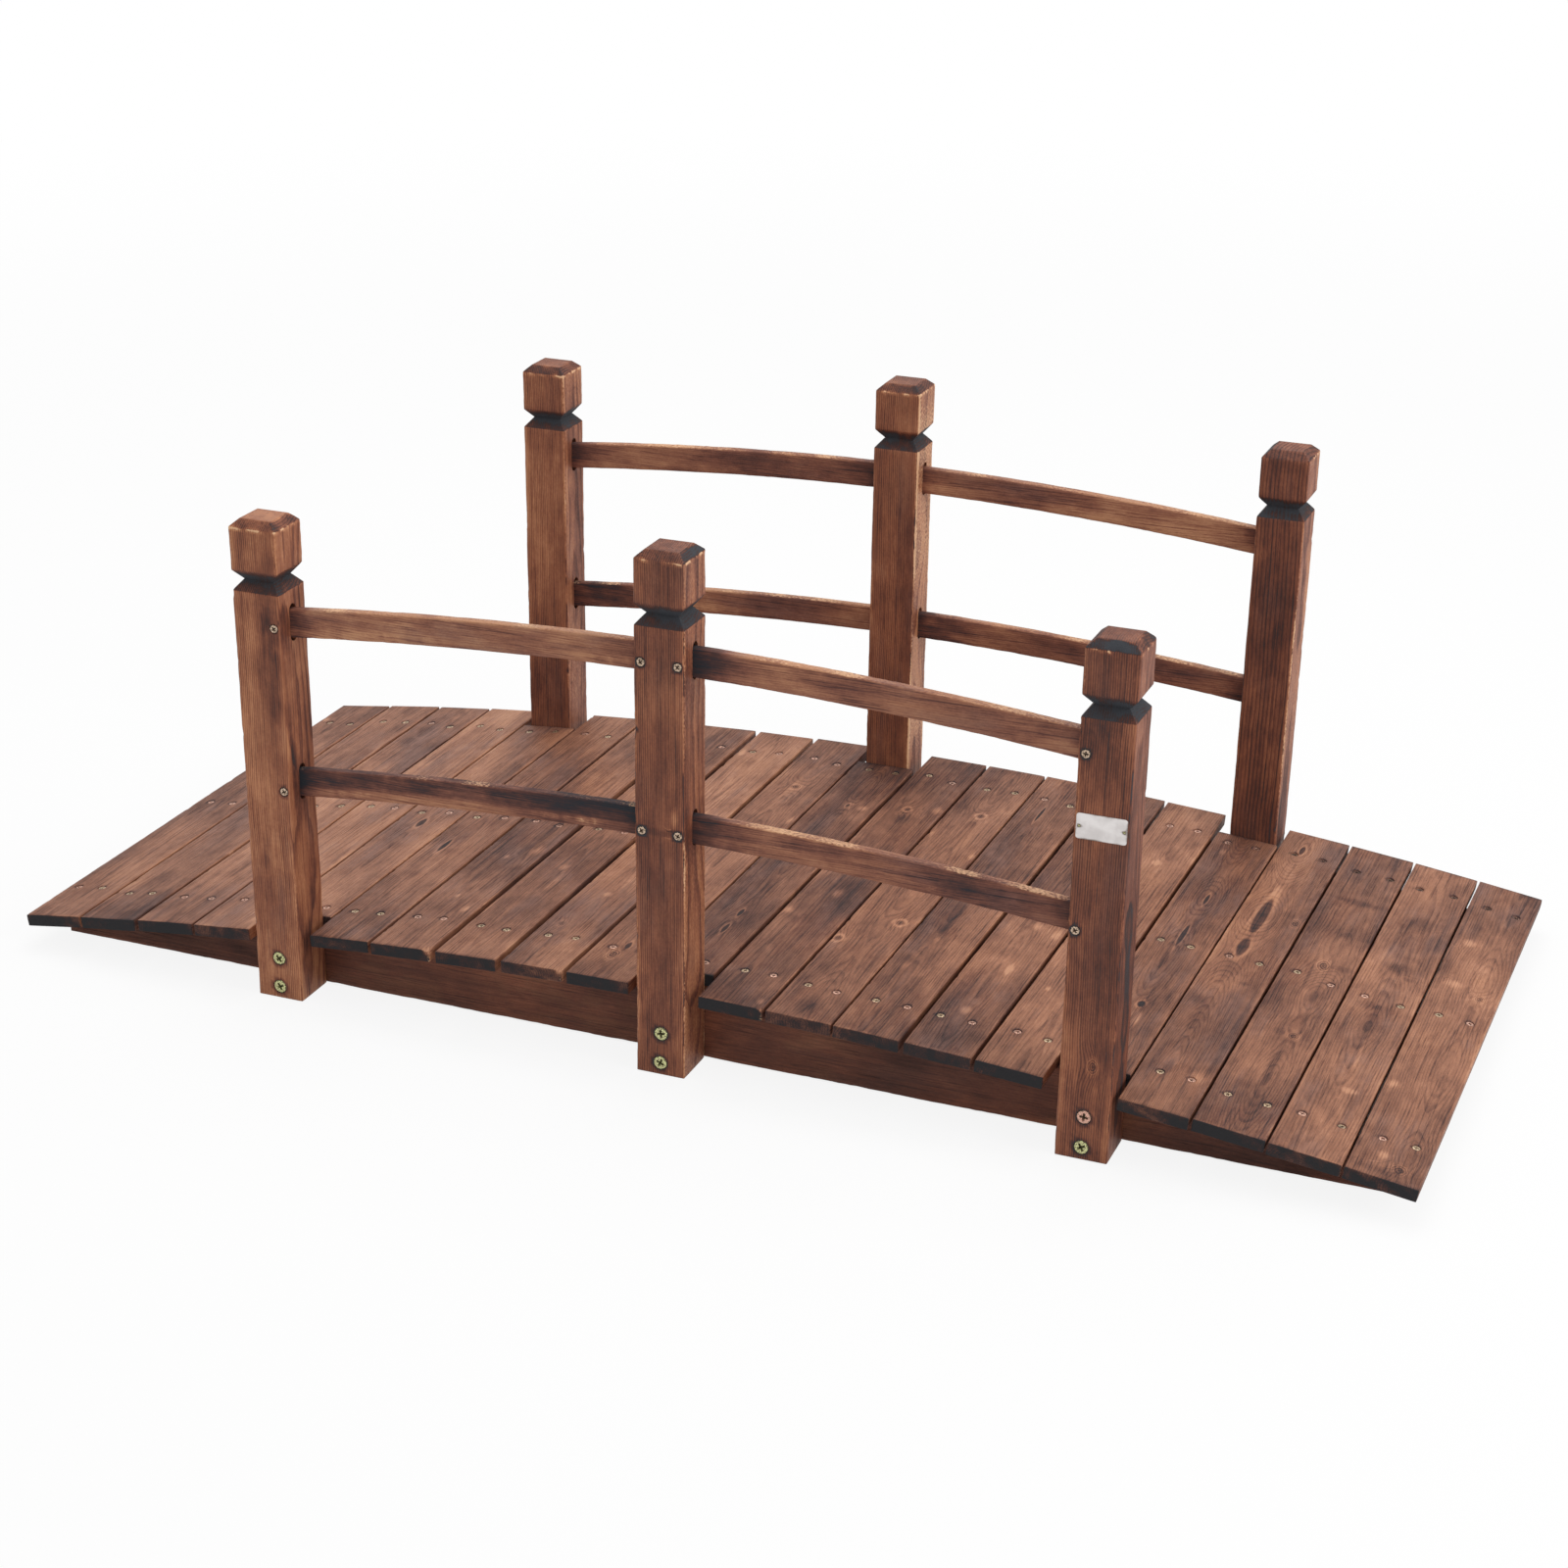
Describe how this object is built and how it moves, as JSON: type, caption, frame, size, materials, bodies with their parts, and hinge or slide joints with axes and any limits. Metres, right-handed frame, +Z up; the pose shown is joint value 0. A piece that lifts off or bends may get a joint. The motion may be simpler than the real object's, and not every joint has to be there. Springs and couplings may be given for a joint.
{
  "type": "garden moon bridge",
  "caption": "Arched wooden garden footbridge with plank deck, grooved square posts and bowed double rails on both sides.",
  "frame": {"origin": "middle of the bridge's footprint, on the ground the stringers and post feet stand on", "axes": "+X along the walkway from the left end to the right end as pictured, +Y across it from the front railing to the back railing, +Z up"},
  "size_m": [1.4992, 0.7008, 0.541],
  "materials": {
    "deck_wood": "torched and oiled, satin",
    "stringer_wood": "torched and oiled, satin",
    "post_wood": "torched and oiled, satin",
    "rail_wood": "torched and oiled, satin",
    "plate_metal": "brushed"
  },
  "bodies": {
    "root": {"plank_01": "deck_wood", "plank_02": "deck_wood", "plank_03": "deck_wood", "plank_04": "deck_wood", "plank_05": "deck_wood", "plank_06": "deck_wood", "plank_07": "deck_wood", "plank_08": "deck_wood", "plank_09": "deck_wood", "plank_10": "deck_wood", "plank_11": "deck_wood", "plank_12": "deck_wood", "plank_13": "deck_wood", "plank_14": "deck_wood", "plank_15": "deck_wood", "plank_16": "deck_wood", "plank_17": "deck_wood", "plank_18": "deck_wood", "plank_19": "deck_wood", "plank_20": "deck_wood", "plank_21": "deck_wood", "stringer_front": "stringer_wood", "stringer_middle": "stringer_wood", "stringer_back": "stringer_wood", "post_front_left": "post_wood", "post_front_middle": "post_wood", "post_front_right": "post_wood", "post_back_left": "post_wood", "post_back_middle": "post_wood", "post_back_right": "post_wood", "rail_front_left_upper": "rail_wood", "rail_front_left_lower": "rail_wood", "rail_front_right_upper": "rail_wood", "rail_front_right_lower": "rail_wood", "rail_back_left_upper": "rail_wood", "rail_back_left_lower": "rail_wood", "rail_back_right_upper": "rail_wood", "rail_back_right_lower": "rail_wood", "plate_front_right": "plate_metal"}
  },
  "joints": []
}
